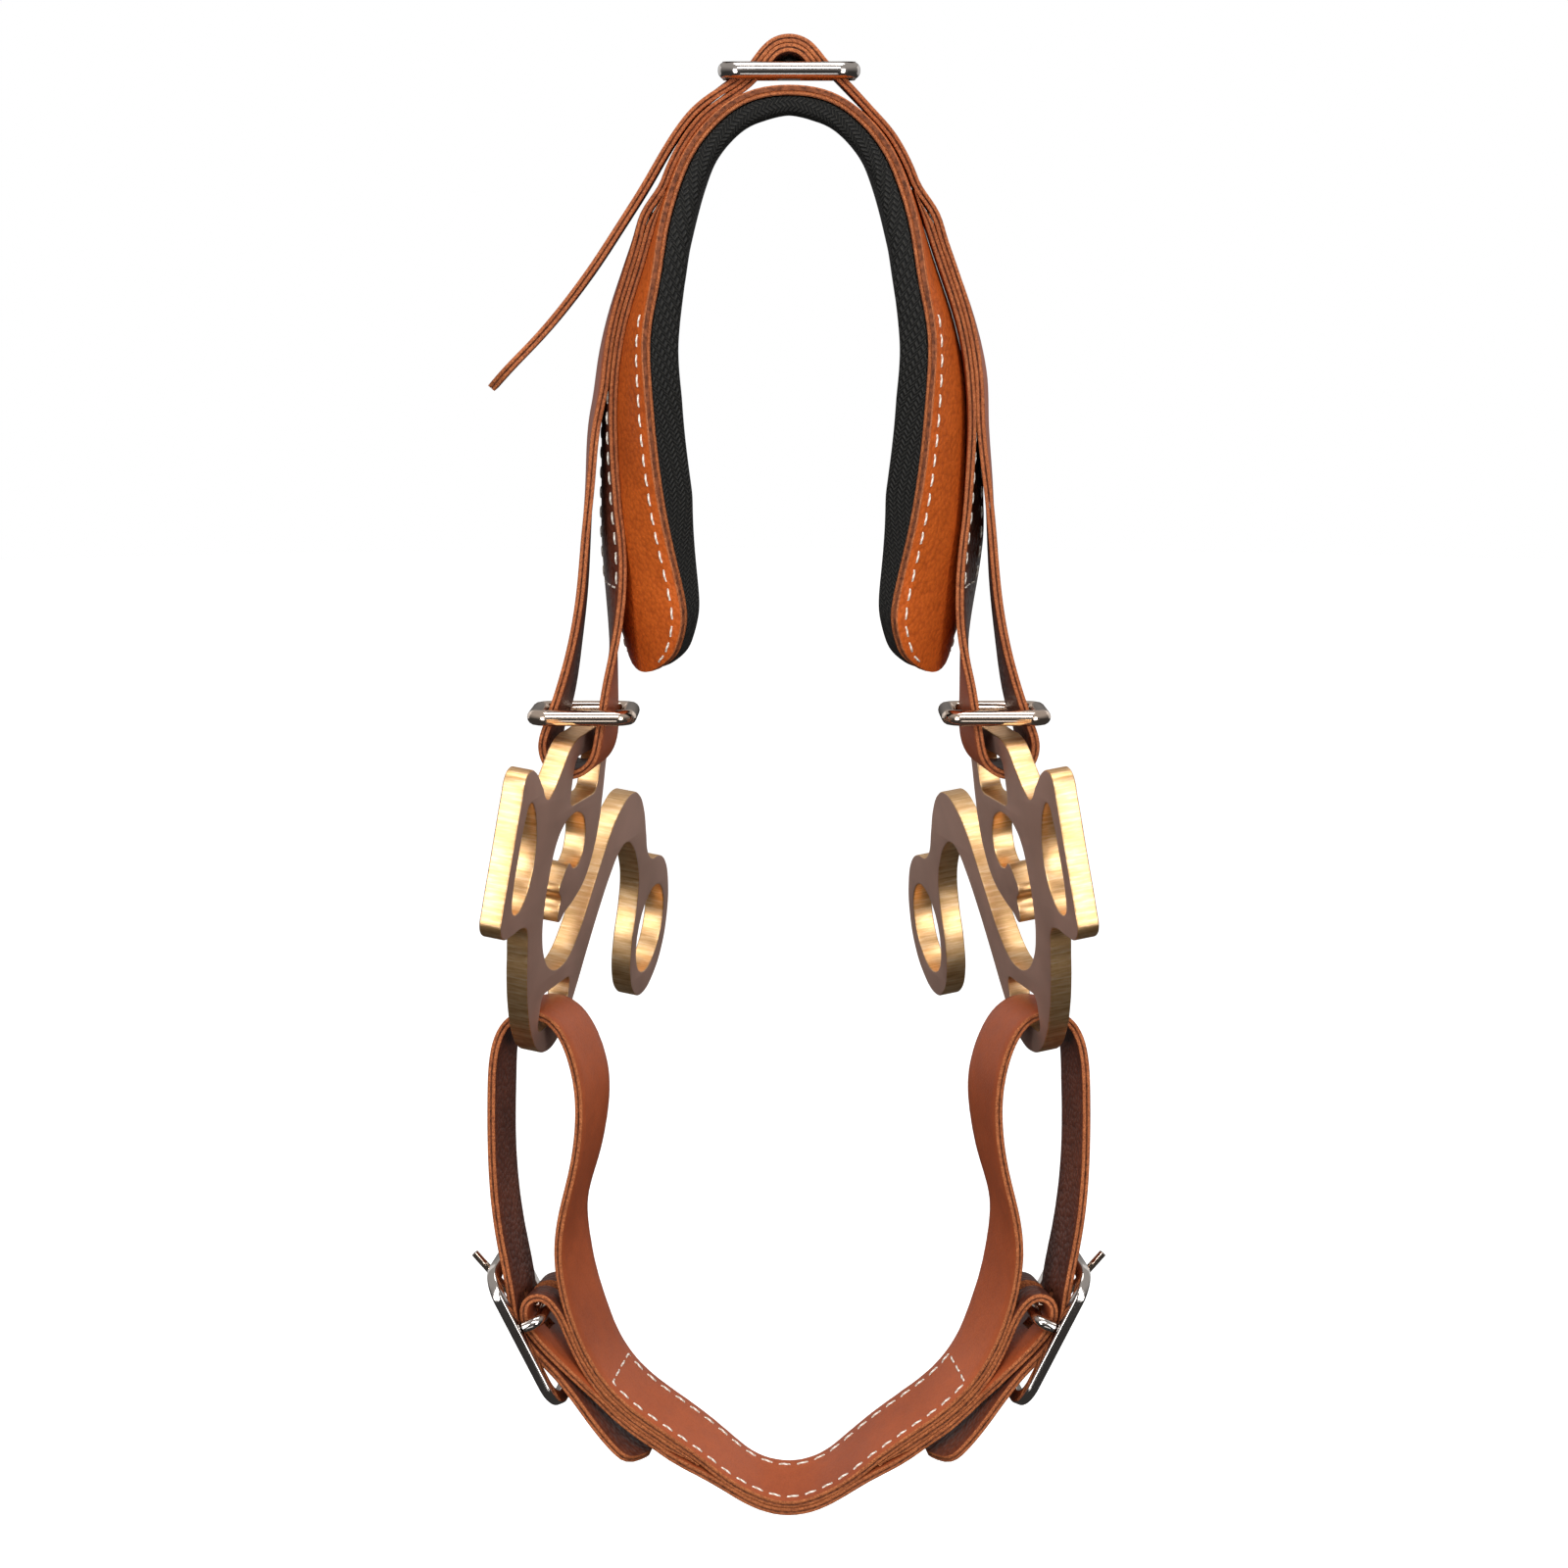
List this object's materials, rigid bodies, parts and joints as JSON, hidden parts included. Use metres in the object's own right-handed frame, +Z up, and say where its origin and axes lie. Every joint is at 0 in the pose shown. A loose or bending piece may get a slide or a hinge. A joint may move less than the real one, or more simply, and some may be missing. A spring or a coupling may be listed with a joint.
{
  "type": "bitless bridle noseband",
  "caption": "Padded leather noseband with metal shank cheek plates and a buckled leather chin strap, used on a horse's head in place of a bit.",
  "frame": {"origin": "top centre of the padded noseband, on the face that rests on the horse's nose", "axes": "+X to the right, +Y along the nose towards the muzzle, +Z up, away from the nose"},
  "size_m": [0.1656, 0.1596, 0.3802],
  "materials": {
    "leather": "tan bridle leather, lightly pebbled, edges dyed and waxed",
    "leather_lining": "darker pebbled lining leather",
    "pad_cover": "black herringbone webbing over the pad",
    "foam": "dense foam padding, hidden inside its cover",
    "brass": "satin faces, polished edges",
    "nickel": "nickel plated, polished"
  },
  "bodies": {
    "noseband": {"noseband_backing": "leather", "noseband_foam": "foam", "noseband_pad_cover": "pad_cover", "noseband_strap_left_face": "leather", "noseband_strap_left_lining": "leather_lining", "noseband_strap_right_face": "leather", "noseband_strap_right_lining": "leather_lining", "top_slide": "nickel"},
    "cheek_left": {"cheek_plate_left": "brass"},
    "cheek_right": {"cheek_plate_right": "brass"},
    "chin_strap": {"chin_inner_strap_face": "leather", "chin_inner_strap_lining": "leather_lining", "chin_outer_strap_face": "leather", "chin_outer_strap_lining": "leather_lining"},
    "buckle_left": {"buckle_frame_left": "nickel", "buckle_bar_left": "nickel"},
    "buckle_right": {"buckle_frame_right": "nickel", "buckle_bar_right": "nickel"},
    "tongue_left": {"buckle_tongue_left": "nickel"},
    "tongue_right": {"buckle_tongue_right": "nickel"},
    "keeper_ring_left": {"keeper_left": "nickel"},
    "keeper_ring_right": {"keeper_right": "nickel"}
  },
  "joints": [
    {"name": "cheek_left_swing", "type": "hinge", "parent": "noseband", "child": "cheek_left", "pos_m": [-0.053, 0, -0.1551], "axis": [0, 1, 0], "range_deg": [-8, 8]},
    {"name": "cheek_right_swing", "type": "hinge", "parent": "noseband", "child": "cheek_right", "pos_m": [0.053, 0, -0.1551], "axis": [0, 1, 0], "range_deg": [-8, 8]},
    {"name": "chin_strap_swing", "type": "hinge", "parent": "cheek_left", "child": "chin_strap", "pos_m": [-0.0625, 0, -0.2253], "axis": [0, 1, 0], "range_deg": [-6.8, 6.8]},
    {"name": "buckle_left_tilt", "type": "hinge", "parent": "chin_strap", "child": "buckle_left", "pos_m": [-0.0627, 0, -0.3048], "axis": [0.1623, 0.9836, 0.079], "range_deg": [-1, 2.5]},
    {"name": "buckle_right_tilt", "type": "hinge", "parent": "chin_strap", "child": "buckle_right", "pos_m": [0.0627, 0, -0.3048], "axis": [-0.1623, 0.9836, 0.079], "range_deg": [-2.5, 1]},
    {"name": "tongue_left_turn", "type": "hinge", "parent": "buckle_left", "child": "tongue_left", "pos_m": [-0.0627, 0, -0.3048], "axis": [-0.1623, -0.9836, -0.079], "range_deg": [0, 12]},
    {"name": "tongue_right_turn", "type": "hinge", "parent": "buckle_right", "child": "tongue_right", "pos_m": [0.0627, 0, -0.3048], "axis": [-0.1623, 0.9836, 0.079], "range_deg": [0, 12]},
    {"name": "keeper_left_slide", "type": "slide", "parent": "noseband", "child": "keeper_ring_left", "axis": [0.2, 0, 0.9798], "range_m": [0, 0.005]},
    {"name": "keeper_right_slide", "type": "slide", "parent": "noseband", "child": "keeper_ring_right", "axis": [-0.2, 0, 0.9798], "range_m": [0, 0.005]}
  ],
  "couplings": [
    {"joint": "cheek_right_swing", "follows": "cheek_left_swing", "ratio": 1},
    {"joint": "chin_strap_swing", "follows": "cheek_left_swing", "ratio": -0.85}
  ]
}
